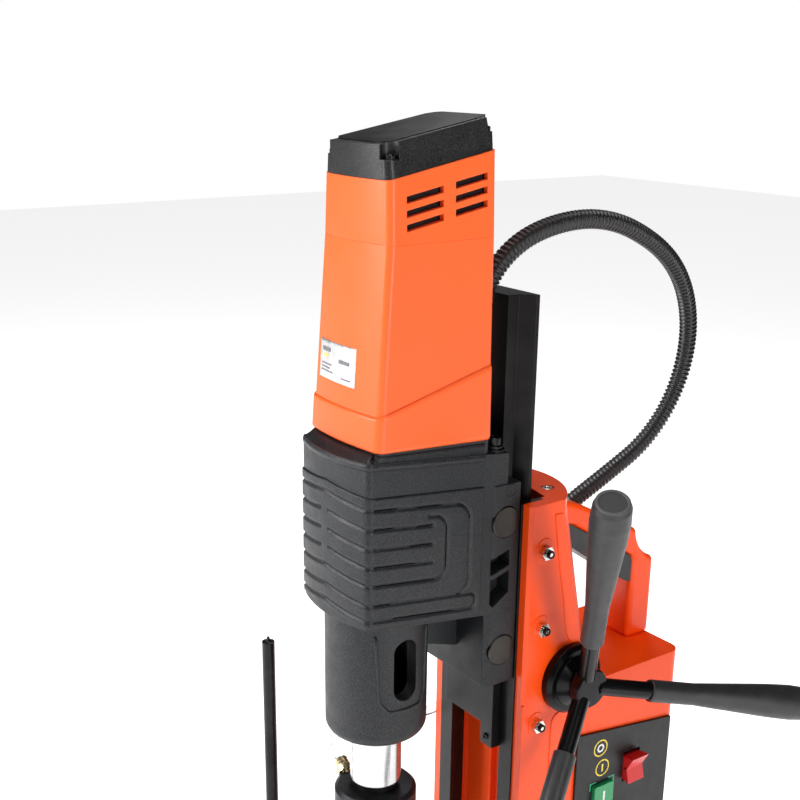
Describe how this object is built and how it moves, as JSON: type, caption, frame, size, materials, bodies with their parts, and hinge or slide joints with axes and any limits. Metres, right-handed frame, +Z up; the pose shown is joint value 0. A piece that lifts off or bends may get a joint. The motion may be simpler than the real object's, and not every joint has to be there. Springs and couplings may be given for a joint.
{
  "type": "magnetic base core drill rig",
  "caption": "Upright magnetic-foot core drill: black gearbox and orange motor on a dovetail slide, lever capstan feed, carry handle and side control panel.",
  "frame": {"origin": "centre of the magnet's bottom face", "axes": "+Z up the stand, -Y towards the spindle, +X towards the capstan and the control panel"},
  "size_m": [0.2481, 0.4065, 0.753],
  "materials": {
    "foot_steel": "satin",
    "potting": "matte",
    "stand_coat": "satin",
    "black_steel": "satin",
    "zinc": "satin",
    "black_cast": "textured",
    "cap_steel": "satin",
    "bright_steel": "polished",
    "plate_alloy": "satin",
    "motor_orange": "gloss",
    "black_plastic": "satin",
    "black_rubber": "matte",
    "red_plastic": "gloss",
    "green_plastic": "gloss",
    "windings": "satin",
    "brass_fit": "satin",
    "clear_hose": "clear",
    "clear_guard": "clear"
  },
  "bodies": {
    "stand": {"magnet_core": "foot_steel", "magnet_coil": "potting", "stand_column": "stand_coat", "control_housing": "stand_coat", "handle_bar": "stand_coat", "handle_grip": "black_rubber", "way_strip_left": "black_steel", "way_strip_right": "black_steel", "gib_screw_1": "zinc", "gib_screw_2": "zinc", "gib_screw_3": "zinc", "gib_screw_4": "zinc", "control_panel": "black_plastic", "cord_gland": "black_rubber", "capstan_flange": "black_steel", "shaft_cover": "black_steel", "motor_conduit": "black_rubber", "stand_gland": "black_rubber", "hose_tap": "brass_fit", "guard_bracket": "black_steel", "guard_post": "black_steel"},
    "carriage": {"slide_bar": "black_steel", "feed_rack": "black_steel", "gearbox_housing": "black_cast", "cheek_cap_1": "cap_steel", "cheek_cap_2": "cap_steel", "cheek_cap_3": "cap_steel", "cheek_cap_4": "cap_steel", "bearing_plate": "plate_alloy", "motor_housing": "motor_orange", "motor_crown": "motor_orange", "end_cap": "black_plastic", "rating_plate": "plate_alloy", "stator": "windings", "coolant_collar": "black_steel", "hose_fitting": "brass_fit", "coolant_hose": "clear_hose", "motor_gland": "black_rubber"},
    "spindle_shaft": {"spindle": "bright_steel", "spindle_gear": "bright_steel", "cutter_arbor": "black_steel", "cutter_screw": "zinc"},
    "lay": {"lay_wheel": "bright_steel", "lay_shaft": "bright_steel"},
    "rotor": {"armature": "windings"},
    "capstan": {"feed_shaft": "black_steel", "feed_pinion": "black_steel", "capstan_hub": "black_steel", "lever_1": "black_steel", "lever_2": "black_steel", "lever_3": "black_steel", "lever_grip_1": "black_plastic", "lever_grip_2": "black_plastic", "lever_grip_3": "black_plastic"},
    "start": {"start_button": "green_plastic"},
    "stop": {"stop_button": "red_plastic"},
    "magnet_rocker": {"magnet_switch": "red_plastic"},
    "dial": {"speed_dial": "black_plastic"},
    "tap": {"tap_lever": "brass_fit"},
    "guard": {"chip_guard": "clear_guard"}
  },
  "joints": [
    {"name": "feed_slide", "type": "slide", "parent": "stand", "child": "carriage", "axis": [0, 0, -1], "range_m": [0, 0.19], "deforming": ["coolant_hose", "motor_conduit"]},
    {"name": "capstan_turn", "type": "hinge", "parent": "stand", "child": "capstan", "pos_m": [0.06, 0.0042, 0.321], "axis": [1, 0, 0], "range_deg": [-1, 606]},
    {"name": "spindle_turn", "type": "hinge", "parent": "carriage", "child": "spindle_shaft", "pos_m": [0, -0.145, 0.3], "axis": [0, 0, 1], "continuous": true},
    {"name": "lay_turn", "type": "hinge", "parent": "carriage", "child": "lay", "pos_m": [0, -0.1, 0.43], "axis": [0, 0, 1], "continuous": true},
    {"name": "rotor_turn", "type": "hinge", "parent": "carriage", "child": "rotor", "pos_m": [0, -0.12, 0.5], "axis": [0, 0, 1], "continuous": true},
    {"name": "start_press", "type": "slide", "parent": "stand", "child": "start", "axis": [-1, 0, 0], "range_m": [0, 0.002], "stiffness_N_per_m": 800},
    {"name": "stop_press", "type": "slide", "parent": "stand", "child": "stop", "axis": [-1, 0, 0], "range_m": [0, 0.002], "stiffness_N_per_m": 800},
    {"name": "magnet_rock", "type": "hinge", "parent": "stand", "child": "magnet_rocker", "pos_m": [0.0595, 0.082, 0.214], "axis": [0, 1, 0], "range_deg": [0, 12]},
    {"name": "dial_turn", "type": "hinge", "parent": "stand", "child": "dial", "pos_m": [0.055, 0.082, 0.152], "axis": [1, 0, 0], "range_deg": [-270, 0]},
    {"name": "tap_turn", "type": "hinge", "parent": "stand", "child": "tap", "pos_m": [-0.071, -0.0005, 0.257], "axis": [0, 0, 1], "range_deg": [0, 90]},
    {"name": "guard_swing", "type": "hinge", "parent": "stand", "child": "guard", "pos_m": [-0.082, -0.192, 0.12], "axis": [0, 0, 1], "range_deg": [-75, 0]}
  ],
  "couplings": [
    {"joint": "capstan_turn", "follows": "feed_slide", "rad_per_m": 55.556},
    {"joint": "lay_turn", "follows": "spindle_turn", "ratio": -2.6},
    {"joint": "rotor_turn", "follows": "spindle_turn", "ratio": 7.8}
  ]
}
